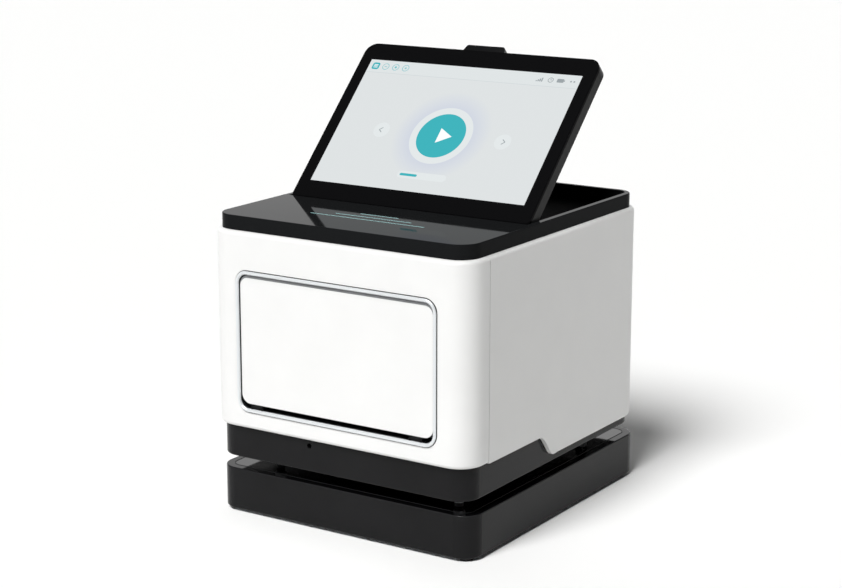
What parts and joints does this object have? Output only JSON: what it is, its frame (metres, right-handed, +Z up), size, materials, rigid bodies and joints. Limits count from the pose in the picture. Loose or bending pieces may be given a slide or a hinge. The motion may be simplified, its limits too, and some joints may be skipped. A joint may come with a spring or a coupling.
{
  "type": "benchtop sequencer",
  "caption": "White box-shaped benchtop instrument on a black plinth, with a tilting touch display on a glossy black top, a drop-down front door and a loading drawer.",
  "frame": {"origin": "bottom centre of the whole instrument, on the surface it stands on", "axes": "-Y is the front with the door and display, +X the instrument's right side seen from the front, +Z up"},
  "size_m": [0.328, 0.3718, 0.4873],
  "materials": {
    "white_shell": "smooth white painted moulding, satin gloss",
    "white_sheet": "powder-coated white sheet",
    "black_abs": "fine-grained black moulding, satin",
    "gloss_black": "piano black, polished",
    "grey_plastic": "plain grey moulding",
    "dark_grey_plastic": "fine-grained dark grey moulding",
    "rubber": "black rubber",
    "satin_silver": "satin silver paint",
    "hinge_steel": "ground steel",
    "steel_fasteners": "bright nickel-plated steel",
    "steel_sheet": "zinc-plated sheet",
    "aluminium_plate": "anodised aluminium",
    "gold_plate": "gold-plated copper alloy",
    "circuit_board": "green solder mask",
    "screen": "lit screen behind clear glass",
    "light_guide": "tinted light guide"
  },
  "bodies": {
    "instrument": {"base_shell": "black_abs", "base_top_plate": "gloss_black", "base_bottom_plate": "steel_sheet", "base_feet": "rubber", "base_screws": "steel_fasteners", "unit_feet": "grey_plastic", "unit_foot_pads": "rubber", "chassis_tray": "black_abs", "front_panel": "white_shell", "left_side_panel": "white_shell", "right_side_panel": "white_shell", "rear_panel": "white_sheet", "rear_screws": "steel_fasteners", "top_cover": "gloss_black", "status_light_bars": "light_guide", "status_light_board": "circuit_board", "display_bumpers": "rubber", "hinge_brackets": "hinge_steel", "hinge_screws": "steel_fasteners", "door_ring": "satin_silver", "door_frame": "black_abs", "door_catches": "dark_grey_plastic", "door_pins": "hinge_steel", "bay_frame": "steel_sheet", "frame_screws": "steel_fasteners", "drawer_deck": "aluminium_plate", "drawer_rails": "hinge_steel", "sensor_head": "dark_grey_plastic", "heat_sink": "aluminium_plate", "cooling_fan_frame": "black_abs", "fan_guard": "steel_fasteners", "fan_screws": "steel_fasteners", "power_inlet": "black_abs", "switch_housing": "black_abs", "port_board": "circuit_board", "network_port": "steel_fasteners", "usb_ports": "steel_fasteners", "power_supply": "steel_sheet", "main_board": "circuit_board", "board_standoffs": "gold_plate", "pump_block": "dark_grey_plastic", "valve_manifold": "grey_plastic"},
    "display": {"display_bezel": "gloss_black", "lcd_panel": "screen", "display_back": "black_abs", "display_board": "circuit_board", "hinge_leaves": "hinge_steel", "hinge_pins": "hinge_steel"},
    "door": {"door_panel": "white_shell", "door_inner_panel": "dark_grey_plastic", "door_strikes": "steel_fasteners"},
    "drawer": {"drawer_carriages": "hinge_steel", "cartridge_drawer": "dark_grey_plastic", "cartridge_guides": "dark_grey_plastic", "chip_seat": "gold_plate"},
    "rocker": {"power_rocker": "black_abs"},
    "fan_rotor": {"cooling_fan_rotor": "black_abs"}
  },
  "joints": [
    {"name": "display_tilt", "type": "hinge", "parent": "instrument", "child": "display", "pos_m": [0, -0.04805, 0.3247], "axis": [1, 0, 0], "range_deg": [-45, 15]},
    {"name": "door_swing", "type": "hinge", "parent": "instrument", "child": "door", "pos_m": [0, -0.18265, 0.1252], "axis": [1, 0, 0], "range_deg": [0, 90]},
    {"name": "drawer_slide", "type": "slide", "parent": "instrument", "child": "drawer", "axis": [0, -1, 0], "range_m": [0, 0.12]},
    {"name": "rocker_tip", "type": "hinge", "parent": "instrument", "child": "rocker", "pos_m": [-0.056, 0.17415, 0.1062], "axis": [0, 0, -1], "range_deg": [0, 16]},
    {"name": "fan_spin", "type": "hinge", "parent": "instrument", "child": "fan_rotor", "pos_m": [0.07, 0.1635, 0.2179], "axis": [0, 1, 0], "continuous": true}
  ],
  "couplings": [
    {"joint": "drawer_slide", "follows": "door_swing", "m_per_rad": 0.076394}
  ]
}
